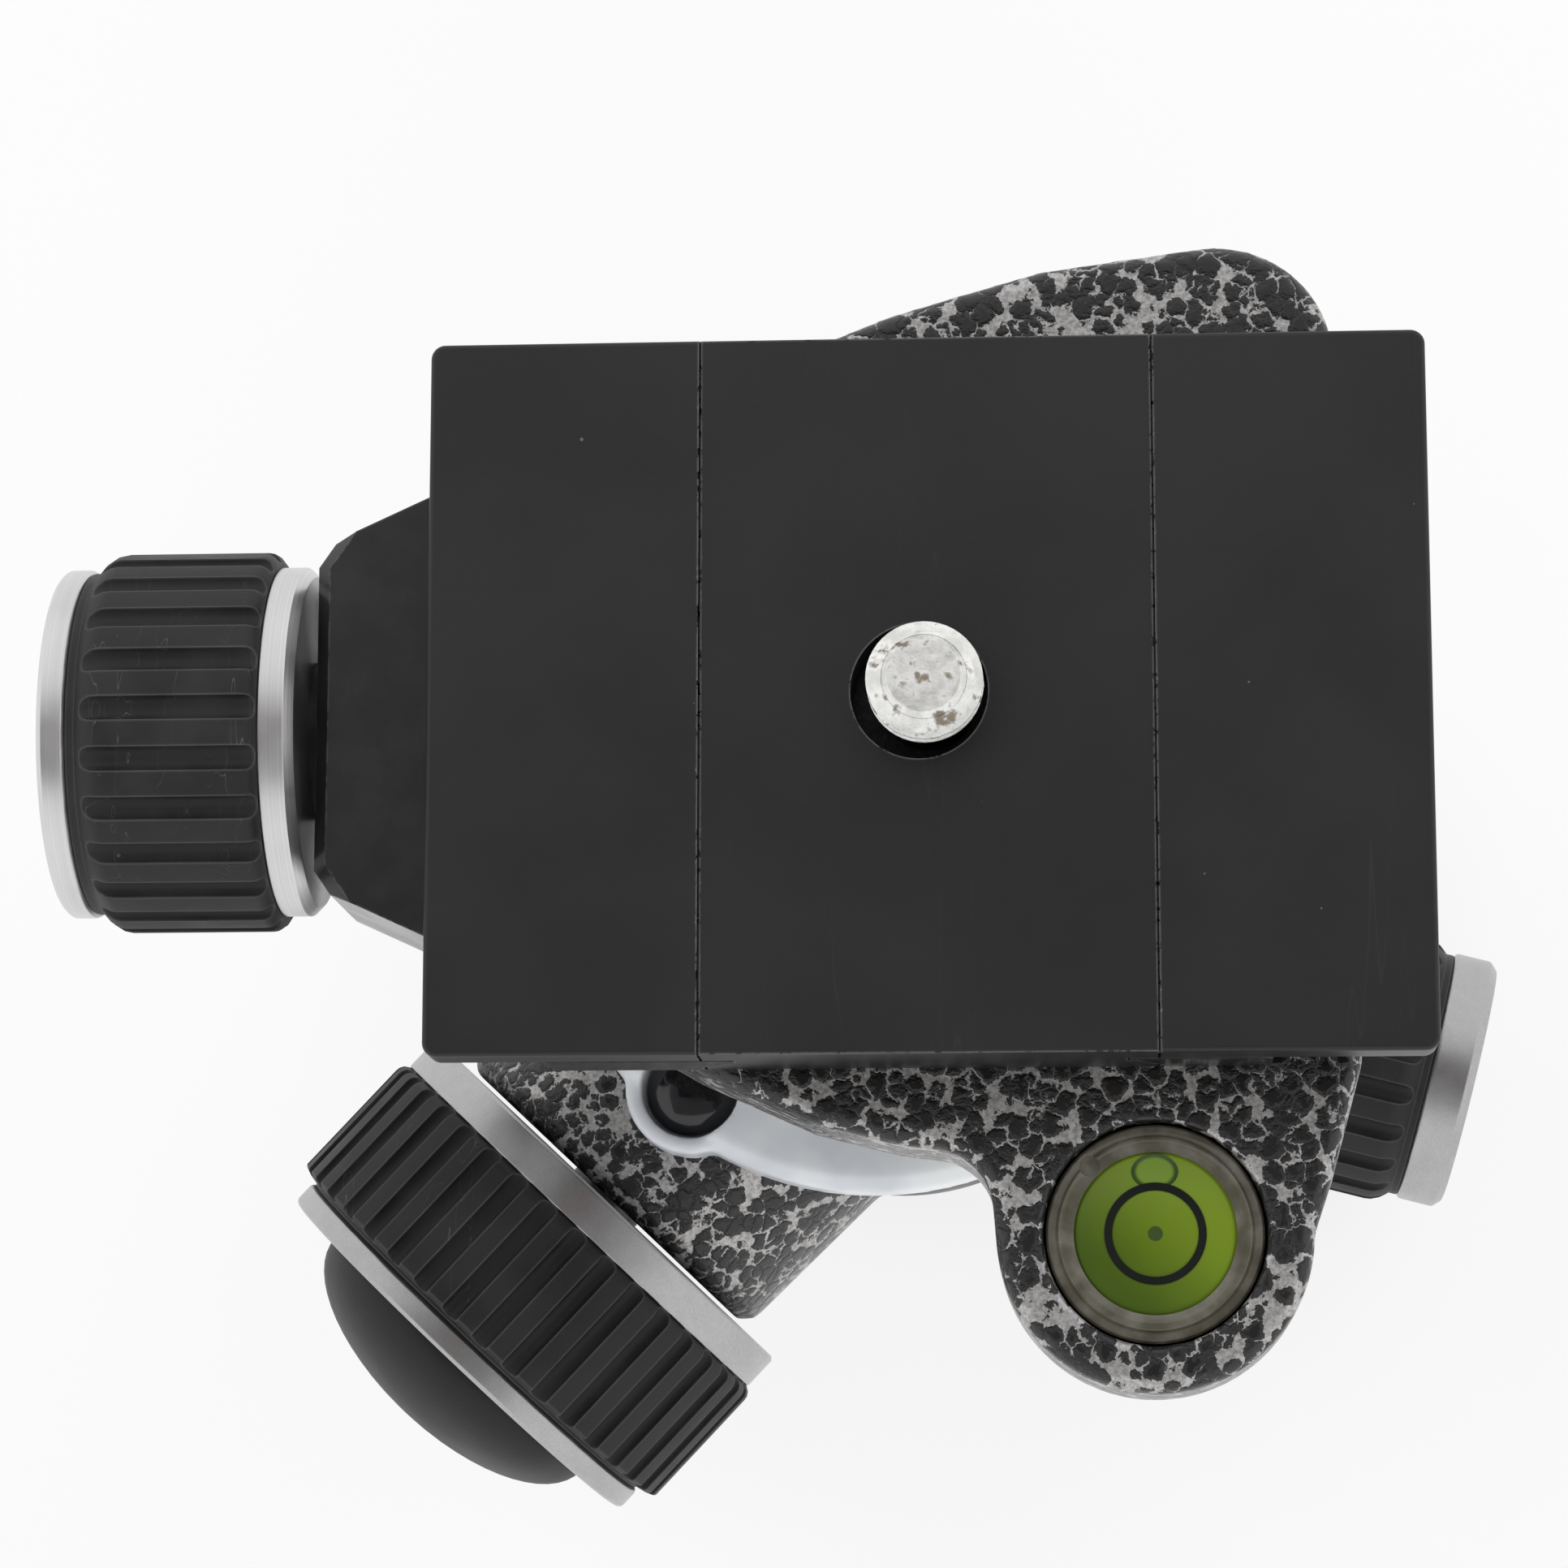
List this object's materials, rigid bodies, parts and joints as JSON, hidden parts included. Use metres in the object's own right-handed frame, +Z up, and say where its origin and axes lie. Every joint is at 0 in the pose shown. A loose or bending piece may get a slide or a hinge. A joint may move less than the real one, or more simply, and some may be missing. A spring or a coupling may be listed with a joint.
{
  "type": "tripod ball head",
  "caption": "Tripod ball head with a screw clamp, dovetail quick-release plate, round level, main lock knob and panning lock knob.",
  "frame": {"origin": "centre of the tripod socket, in the bottom face of the base", "axes": "+Z up along the panning axis to the camera plate, +X away from the clamp knob, +Y towards the drop notch at the back"},
  "size_m": [0.1285, 0.1041, 0.1281],
  "materials": {
    "speckled_paint": "hammered two-tone black and silver enamel",
    "collar_enamel": "satin light grey",
    "black_plate": "satin black with fine scratches",
    "black_jaw": "gloss black",
    "silver_ring": "satin turned",
    "black_rubber": "ribbed rubber",
    "black_cap": "fine matte",
    "zinc": "bright zinc plate",
    "black_steel": "black oxide",
    "bronze": "turned bronze",
    "ball_alloy": "hard anodised, polished",
    "stem_alloy": "satin anodised",
    "base_alloy": "black anodised",
    "nylon": "natural nylon",
    "vial_acrylic": "clear moulded acrylic",
    "vial_liquid": "green liquid",
    "vial_bubble": "air bubble"
  },
  "bodies": {
    "base": {"base_disc": "base_alloy", "tripod_bush": "zinc", "spindle": "stem_alloy", "spindle_screws": "zinc", "spindle_nut": "bronze", "sliding_washer": "nylon"},
    "housing": {"housing": "speckled_paint", "collar": "collar_enamel", "collar_lobe_screw": "black_steel", "collar_screws": "black_steel", "upper_seat": "nylon", "lower_seat": "nylon", "main_bush": "bronze", "pan_bush": "bronze"},
    "ball_shoe": {"ball_shoe": "nylon"},
    "main_knob": {"main_lock_screw": "zinc", "main_knob_core": "black_cap", "main_knob_grip": "black_rubber", "main_knob_outer_ring": "silver_ring", "main_knob_inner_ring": "silver_ring", "main_knob_dome": "black_cap"},
    "pan_shoe": {"pan_shoe": "bronze"},
    "pan_knob": {"pan_lock_screw": "zinc", "pan_knob_core": "black_cap", "pan_knob_grip": "black_rubber", "pan_knob_outer_ring": "silver_ring", "pan_knob_inner_ring": "silver_ring", "pan_knob_cap": "black_cap"},
    "ball_and_stem": {"ball": "ball_alloy", "stem": "stem_alloy", "stem_bolt": "black_steel", "stem_washer": "zinc"},
    "clamp": {"clamp_casting": "speckled_paint", "fixed_rail": "black_jaw", "rail_screws": "black_steel", "clamp_screw": "zinc", "guide_pins": "zinc", "level_vial": "vial_acrylic", "level_fluid": "vial_liquid", "level_bubble": "vial_bubble"},
    "moving_jaw": {"moving_jaw": "black_jaw"},
    "clamp_knob": {"clamp_knob_core": "black_cap", "clamp_knob_grip": "black_rubber", "clamp_knob_outer_ring": "silver_ring", "clamp_knob_inner_ring": "silver_ring", "clamp_knob_cap": "black_cap"},
    "plate": {"quick_release_plate": "black_plate", "plate_clip": "black_steel"},
    "camera_screw": {"camera_screw": "zinc"}
  },
  "joints": [
    {"name": "pan", "type": "hinge", "parent": "base", "child": "housing", "pos_m": [0, 0, 0.02], "axis": [0, 0, 1], "continuous": true},
    {"name": "main_lock_shoe", "type": "slide", "parent": "housing", "child": "ball_shoe", "axis": [-0.6858, -0.7278, 0], "range_m": [0, 0.000937]},
    {"name": "main_lock_turn", "type": "hinge", "parent": "ball_shoe", "child": "main_knob", "pos_m": [-0.02606, -0.02765, 0.047], "axis": [-0.6858, -0.7278, 0], "range_deg": [0, 270]},
    {"name": "pan_lock_shoe", "type": "slide", "parent": "housing", "child": "pan_shoe", "axis": [0.9681, -0.2504, 0], "range_m": [0, 0.000749]},
    {"name": "pan_lock_turn", "type": "hinge", "parent": "pan_shoe", "child": "pan_knob", "pos_m": [0.03873, -0.01001, 0.018], "axis": [0.9681, -0.2504, 0], "range_deg": [0, 270]},
    {"name": "ball_tilt", "type": "hinge", "parent": "housing", "child": "ball_and_stem", "pos_m": [0, 0, 0.06], "axis": [1, 0, 0], "range_deg": [-90, 30]},
    {"name": "stem_spin", "type": "hinge", "parent": "ball_and_stem", "child": "clamp", "pos_m": [0, 0, 0.10001], "axis": [0, 0, 1], "continuous": true},
    {"name": "jaw_slide", "type": "slide", "parent": "clamp", "child": "moving_jaw", "axis": [-1, 0, 0], "range_m": [0, 0.004]},
    {"name": "clamp_knob_turn", "type": "hinge", "parent": "moving_jaw", "child": "clamp_knob", "pos_m": [-0.05, 0.0053, 0.10451], "axis": [-1, 0, 0], "range_deg": [0, 1440]},
    {"name": "plate_slide", "type": "slide", "parent": "clamp", "child": "plate", "axis": [0, 1, 0], "range_m": [-0.015, 0.015]},
    {"name": "camera_screw_turn", "type": "hinge", "parent": "plate", "child": "camera_screw", "pos_m": [0.00675, 0.0057, 0.12206], "axis": [0, 0, 1], "continuous": true}
  ],
  "couplings": [
    {"joint": "main_lock_turn", "follows": "main_lock_shoe", "rad_per_m": 5026.5},
    {"joint": "pan_lock_turn", "follows": "pan_lock_shoe", "rad_per_m": 6283.2},
    {"joint": "clamp_knob_turn", "follows": "jaw_slide", "rad_per_m": 6283.2}
  ]
}
